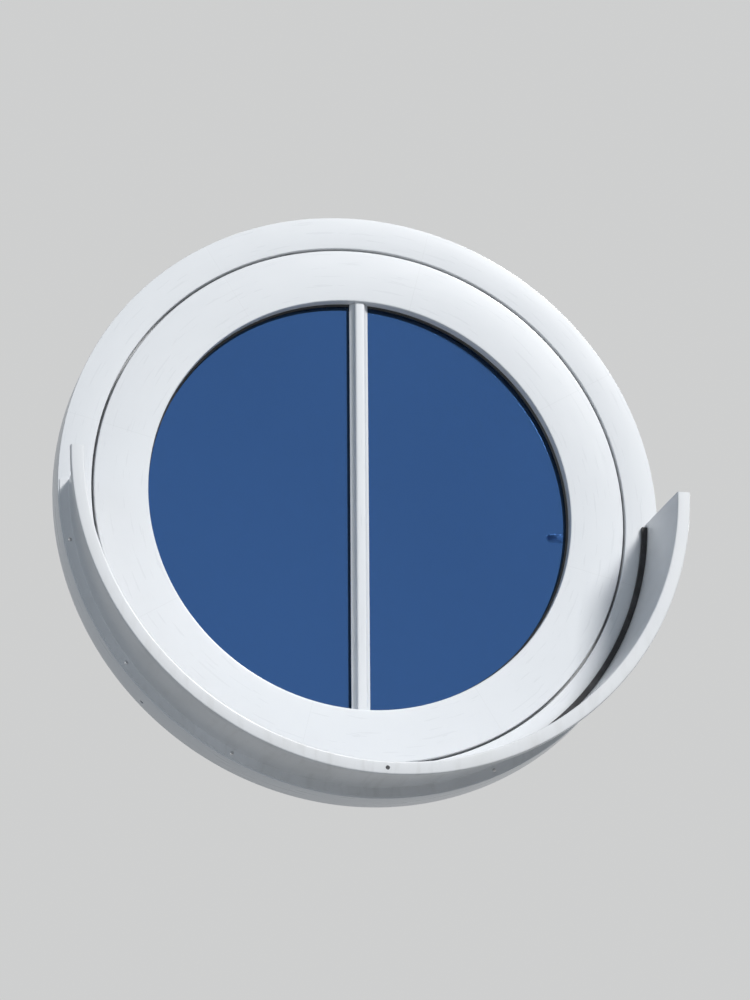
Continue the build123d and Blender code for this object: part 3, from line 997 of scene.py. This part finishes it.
@dataclass
class GlazingBar:
    """A moulded vertical bar bonded to one face of the glass."""

    sizes: WindowSizes
    finishes: Finishes
    width: float = 0.037
    face: float = 0.015
    height: float = 0.018
    edge: float = 0.004
    nose: float = 0.002
    hollow: float = 0.017
    hollow_steps: int = 10
    soft: float = 0.0005
    fit: float = 0.0003
    seal: float = 0.0031

    def half_section(self) -> list[Point]:
        """Half of the section, from the glass to the middle of the face.

        Returns:
            Points as x and height.
        """
        half, face = self.width / 2, self.face / 2
        foot, neck = Vector((half, self.edge)), Vector((face + self.nose, self.height - self.nose))
        chord = neck - foot
        out = Vector((chord.y, -chord.x)).normalized()
        centre_point = (foot + neck) / 2 + out * sqrt(self.hollow ** 2 - (chord.length / 2) ** 2)
        first, last = (point - centre_point for point in (foot, neck))
        turn = first.angle_signed(last)
        points = [(half, 0.0), (half, self.edge - self.soft)]
        for step in range(self.hollow_steps + 1):
            spoke = Matrix.Rotation(-turn * (step / self.hollow_steps), 2) @ first
            points.append(tuple(centre_point + spoke))
        points += [
            (face + self.soft, self.height - self.soft), (face - self.soft, self.height - self.soft / 4),
            (face - 3 * self.soft, self.height),
        ]
        return points

    def build(self, name: str, node: str, seat: float, outwards: bool) -> None:
        """Build one bar, which is shorter next to the glass, where the seal is.

        Args:
            name: The piece's name.
            node: The CAD node that it replaces.
            seat: Depth of the glass face.
            outwards: Whether the bar stands towards the outside.
        """
        s = self.sizes
        half = self.half_section()
        section = half + [(-x, y) for x, y in reversed(half)]
        side = -1.0 if outwards else 1.0
        bar = Piece(name)
        loops = []
        for end in (-1.0, 1.0):
            loop = []
            for x, rise in section:
                reach = s.sight_radius - self.fit - (s.seal_reveal if rise < self.seal else 0.0)
                loop.append((x, seat + side * rise, end * sqrt(reach ** 2 - x ** 2)))
            loops.append(loop)
        bar.skin(loops)
        bar.finish(self.finishes.bar_timber, Body.SASH, Slot.TIMBER, [node])


@dataclass
class Sill:
    """Half-round sill of folded sheet with its screws."""

    sizes: WindowSizes
    finishes: Finishes
    sheet: float = 0.002
    rear_radius: float = 0.5865
    front_radius: float = 0.5930
    flange: float = 0.020
    lip_return: float = 0.012
    fold: float = 0.0035
    screw_angles: tuple[float, ...] = (192.0, 218.0, 244.0, 296.0, 322.0, 348.0)
    screw_head: ScrewHead = ScrewHead(0.004, 0.0018)
    rivet_radius: float = 0.0045
    rivet_bevel: float = 0.0003
    rivet_height: float = 0.0004
    rivet_sunk: float = 0.0003

    def build(self) -> None:
        """Build the trough and its screws."""
        self.trough()
        self.screws()

    def trough(self) -> None:
        """The folded sheet."""
        s, t = self.sizes, self.sheet
        back = s.lip_front + t
        section = rounded([
            Corner(self.rear_radius, 0.0, self.fold),
            Corner(self.rear_radius + self.flange, 0.0),
            Corner(self.rear_radius + self.flange, -t),
            Corner(self.rear_radius + t, -t, self.fold - t),
            Corner(self.front_radius + t, back, self.fold - t),
            Corner(s.lip_radius - t, back, self.fold - t),
            Corner(s.lip_radius - t, s.lip_front + self.lip_return),
            Corner(s.lip_radius, s.lip_front + self.lip_return),
            Corner(s.lip_radius, s.lip_front, self.fold),
            Corner(self.front_radius, s.lip_front, self.fold),
        ])
        trough = Piece("sill_sheet")
        trough.ring(section, 180.0, 180.0)
        trough.finish(self.finishes.sheet, Body.FRAME, Slot.SHEET, ["sill_trough"])

    def screws(self) -> None:
        """Heads on the rear flange, and the dark one at the lowest point of the lip."""
        heads, outwards = Piece("sill_screw_heads"), Matrix.Rotation(pi / 2, 4, "X")
        radius = self.rear_radius + self.sheet + (self.flange - self.sheet) / 2
        for angle in self.screw_angles:
            a = radians(angle)
            spot = Vector((radius * cos(a), -self.sheet, radius * sin(a)))
            self.screw_head.add(heads, Matrix.Translation(spot) @ outwards)
        heads.finish(self.finishes.steel, Body.FRAME, Slot.STEEL)
        rivet, s = Piece("lip_rivet"), self.sizes
        spot = Vector((0.0, s.lip_front + self.rivet_sunk, -(self.front_radius + s.lip_radius) / 2))
        rivet.lathe([(self.rivet_radius, 0.0), (self.rivet_radius - self.rivet_bevel, self.rivet_height)],
                    Matrix.Translation(spot) @ outwards, HEAD_SEGMENTS)
        rivet.finish(self.finishes.rubber, Body.FRAME, Slot.RUBBER)


@dataclass
class Handle:
    """Lever with a rounded grip on a stepped neck, and the rose's cover."""

    finishes: Finishes
    axis_x: float = field(default_factory=lambda: centre("handle_spindle")[X])
    hub_radius: float = 0.010
    tip_radius: float = 0.008
    turn_steps: int = 24
    grip_depth: float = 0.012
    grip_edge: float = 0.004
    neck_radius: float = 0.009
    neck_step: float = 0.0008
    neck_steps: Triple = (-0.0015, -0.0005, 0.002)
    collar_width: float = 0.0030
    collar_height: float = 0.0012
    collar_edge: float = 0.0008
    rose_corner: float = 0.005
    rose_edge: float = 0.0022

    def grip(self, inset: float) -> list[Point]:
        """Outline round the hub and the tip.

        Args:
            inset: How far the outline shrinks on every side.

        Returns:
            The outline's points.
        """
        reach = self.axis_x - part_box("handle_lever")[LOW][X] - self.tip_radius
        lean = (self.hub_radius - self.tip_radius) / reach
        points = []
        for middle, radius, start, sweep in (
                (0.0, self.hub_radius - inset, -pi / 2 + lean, pi - 2 * lean),
                (-reach, self.tip_radius - inset, pi / 2 - lean, pi + 2 * lean)):
            for step in range(self.turn_steps + 1):
                a = start + sweep * step / self.turn_steps
                points.append((middle + radius * cos(a), radius * sin(a)))
        return points

    def build(self) -> None:
        """Build the lever and the cover."""
        place = into_room(self.axis_x)
        low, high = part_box("handle_lever")
        grip_front, waist = high[Y] - self.grip_depth, self.neck_radius - self.neck_step
        shoulder, hollow, foot = (grip_front + step for step in self.neck_steps)
        lever = Piece("lever")
        levels = soft_levels(grip_front, high[Y], self.grip_edge, steps=5, both=True)
        lever.plate(self.grip, levels, place)
        lever.lathe([(self.neck_radius, low[Y]), (self.neck_radius, shoulder),
                     (waist, hollow), (waist, foot)], place)
        lever.finish(self.finishes.satin, Body.HANDLE, Slot.SATIN, ["handle_lever"])
        low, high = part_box("rose_cover")
        top, collar = high[Y], self.neck_radius + self.collar_width
        cover = Piece("rose_shell")
        cover.plate(round_rectangle(high[X] - low[X], high[Z] - low[Z], self.rose_corner),
                    soft_levels(low[Y], top, self.rose_edge), place)
        cover.lathe([(collar, top), (collar, top + self.collar_height / 2),
                     (collar - self.collar_edge, top + self.collar_height)], place)
        cover.finish(self.finishes.satin, Body.SASH, Slot.SATIN, ["rose_cover"])


@dataclass
class Hinges:
    """Both halves of both hinges: knuckles with rounded ends, and plates, with screws on the sash's."""

    sizes: WindowSizes
    finishes: Finishes
    heights: tuple[float, ...] = (-0.090, 0.090)
    knuckle: float = 0.040
    barrel: float = 0.0075
    barrel_end: float = 0.0022
    barrel_curve: Point = (0.0006, 0.0008)
    joint_bevel: float = 0.0005
    gap: float = 0.0003
    wing: float = 0.0025
    wing_corner: float = 0.002
    wing_edge: float = 0.0006
    sash_lap: float = 0.0025
    frame_lap: float = 0.005
    web: float = 0.0044
    web_corner: float = 0.0008
    screw_inset: float = 0.007
    screw_spots: tuple[Point, ...] = ((0.012, -0.012), (0.012, 0.012), (0.0, 0.0))
    screw_head: ScrewHead = ScrewHead(0.0038, 0.0007)

    def build(self) -> None:
        """Build both halves of both hinges."""
        self.half("hinge_lower_halves", "hinge_frame_knuckles", Body.FRAME, upper=False)
        self.half("hinge_upper_halves", "hinge_sash_knuckles", Body.SASH, upper=True)

    def half(self, name: str, node: str, body: Body, upper: bool) -> None:
        """One half of each hinge.

        Args:
            name: The piece's name.
            node: The CAD node that it replaces.
            body: The body that it rides on.
            upper: Whether it is the upper knuckle, on the sash.
        """
        piece, heads = Piece(name), Piece(f"{name}_screws")
        box, (x, y, _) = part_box(node), centre("hinge_pins")
        axis = Vector((x, y, 0.0))
        face = self.sizes.sash_depth if upper else self.sizes.frame_depth
        left = axis.x - self.sash_lap if upper else box[LOW][X]
        right = box[HIGH][X] if upper else axis.x + self.frame_lap
        for height in self.heights:
            low = height + self.gap if upper else height - self.knuckle
            high = height + self.knuckle if upper else height
            middle = (low + high) / 2
            piece.lathe(self.barrel_outline(low, high, upper), Matrix.Translation(axis))
            if upper:
                piece.plate(round_rectangle(self.web, high - low - 2 * self.gap, self.web_corner, steps=2),
                            [(axis.y, 0.0), (face + self.wing / 2, 0.0)], into_room(axis.x, z=middle))
                for along, up in self.screw_spots:
                    self.screw_head.add(heads, into_room(
                        right - self.screw_inset - along, face + self.wing, middle + up))
            piece.plate(round_rectangle(right - left, high - low, self.wing_corner, steps=4),
                        soft_levels(face, face + self.wing, self.wing_edge, steps=2),
                        into_room((left + right) / 2, z=middle))
        piece.finish(self.finishes.satin, body, Slot.SATIN, [node])
        if upper:
            heads.finish(self.finishes.steel, body, Slot.STEEL)

    def barrel_outline(self, low: float, high: float, upper: bool) -> list[Point]:
        """Outline of a knuckle, with a round free end and a sharp end at the joint.

        Args:
            low: Lower end.
            high: Upper end.
            upper: Whether the joint is at the lower end.

        Returns:
            Points as radius and height.
        """
        r, (inset, rise) = self.barrel, self.barrel_curve
        free = [(r, self.barrel_end), (r - inset, rise), (r - self.barrel_end, 0.0)]
        joint = [(r - self.joint_bevel, 0.0), (r, self.joint_bevel)]
        bottom, top = (joint, free) if upper else (free[::-1], joint[::-1])
        return [(x, low + up) for x, up in bottom] + [(x, high - down) for x, down in top]


@dataclass
class CarriedNodes:
    """CAD nodes that stay as they are and get better materials."""

    finishes: Finishes

    def dress(self) -> None:
        """Give every CAD node its finish."""
        for part in frame["record"]["subparts"]:
            node = frame["nodes"][part["node"]]
            node.data.materials.clear()
            node.data.materials.append(self.finishes.for_slot(Slot(part["material_slot"])))
            log.info("%s: carried over as %s", part["node"], part["material_slot"])


@dataclass(frozen=True)
class Lamp:
    """A square soft lamp that faces the window, hidden from straight views and from views through glass."""

    name: str
    place: Triple
    side: float
    watts: float
    colour: Triple

    def build(self) -> None:
        """Hang the lamp."""
        light = bpy.data.lights.new(self.name, "AREA")
        light.size, light.energy, light.color = self.side, self.watts, self.colour
        lamp = bpy.data.objects.new(self.name, light)
        lamp.location = self.place
        lamp.rotation_mode = "QUATERNION"
        lamp.rotation_quaternion = (-Vector(self.place)).to_track_quat("-Z", "Y")
        lamp.visible_camera = lamp.visible_transmission = False
        bpy.context.scene.collection.objects.link(lamp)


@dataclass
class Studio:
    """Pale surroundings, soft lamps and the camera at the object's viewing angle."""

    camera_place: Triple = (-2.0795, -8.569, -3.244)
    up: Triple = (-0.0551, -0.2568, 0.9649)
    lens: float = 170.9
    target: Triple = (0.0193, -0.03, -0.0046)
    background: Triple = (0.62, 0.625, 0.625)
    ambient: Triple = (0.66, 0.82, 1.0)
    ambient_strength: float = 0.18
    floor_level: float = -4.85
    floor_half: float = 60.0
    floor_colour: Triple = (0.30, 0.31, 0.32)
    floor_wear: float = 0.95
    floor_cloud: Pattern = Pattern(0.4)
    floor_glow: float = 0.90
    lamps: tuple[Lamp, ...] = (
        Lamp("key", (8.4, -13.2, 12.4), 4.4, 3960.0, (0.995, 0.99, 0.98)),
        Lamp("fill", (-6.0, -6.5, 0.5), 4.0, 80.0, (0.80, 0.90, 1.0)),
        Lamp("room", (2.5, 6.5, 4.0), 3.5, 620.0, (1.0, 0.99, 0.97)),
    )

    def build(self) -> None:
        """Build the studio."""
        self.world()
        self.floor()
        for lamp in self.lamps:
            lamp.build()
        self.camera()
        view = bpy.context.scene.view_settings
        view.view_transform = "Standard"

    def world(self) -> None:
        """A world that is pale to the eye and gives soft light to the object."""
        world = bpy.data.worlds.new("studio")
        world.use_nodes = True
        nodes = Nodes(world.node_tree)
        lit = nodes.light("ShaderNodeBackground", self.ambient, self.ambient_strength)
        shown = nodes.light("ShaderNodeBackground", self.background)
        nodes.show(lit, shown, nodes.node("ShaderNodeOutputWorld").inputs["Surface"])
        bpy.context.scene.world = world

    def floor(self) -> None:
        """A wide pale floor at ground level, as far below the window as in the street."""
        data = bpy.data.meshes.new("studio_floor")
        half = self.floor_half
        corners = ((-half, -half), (half, -half), (half, half), (-half, half))
        data.from_pydata([(x, y, self.floor_level) for x, y in corners], [], [(0, 1, 2, 3)])
        floor = bpy.data.objects.new("studio_floor", data)
        bpy.context.scene.collection.objects.link(floor)
        shader = Shader("pale_floor")
        worn = tuple(part * self.floor_wear for part in self.floor_colour)
        cloud = shader.noise(self.floor_cloud)
        shader.dress(Base_Color=shader.blend(cloud, self.floor_colour, worn), Roughness=0.9)
        glow = shader.light("ShaderNodeEmission", self.background)
        shader.show(shader.surface.outputs["BSDF"], glow, shader.output, self.floor_glow)
        data.materials.append(shader.material)

    def camera(self) -> None:
        """A long lens from below and from the left."""
        data = bpy.data.cameras.new("camera")
        data.lens = self.lens
        camera = bpy.data.objects.new("camera", data)
        place = Vector(self.camera_place)
        forward = (Vector(self.target) - place).normalized()
        right = forward.cross(Vector(self.up)).normalized()
        up = right.cross(forward)
        rotation = Matrix((right, up, -forward)).transposed()
        camera.matrix_world = Matrix.Translation(place) @ rotation.to_4x4()
        bpy.context.scene.collection.objects.link(camera)
        bpy.context.scene.camera = camera


def main() -> None:
    """Build the window's pieces in order."""
    logging.basicConfig(level=logging.INFO, format="%(message)s")
    sizes, finishes = WindowSizes(), Finishes()
    CarriedNodes(finishes).dress()
    OuterFrame(sizes, finishes).build()
    Sash(sizes, finishes).build()
    bar = GlazingBar(sizes, finishes)
    bar.build("outer_bar", "outer_glazing_bar", sizes.pane_front, outwards=True)
    bar.build("inner_bar", "inner_glazing_bar", sizes.pane_back, outwards=False)
    Sill(sizes, finishes).build()
    Handle(finishes).build()
    Hinges(sizes, finishes).build()
    Studio().build()


if __name__ == "__main__":
    main()
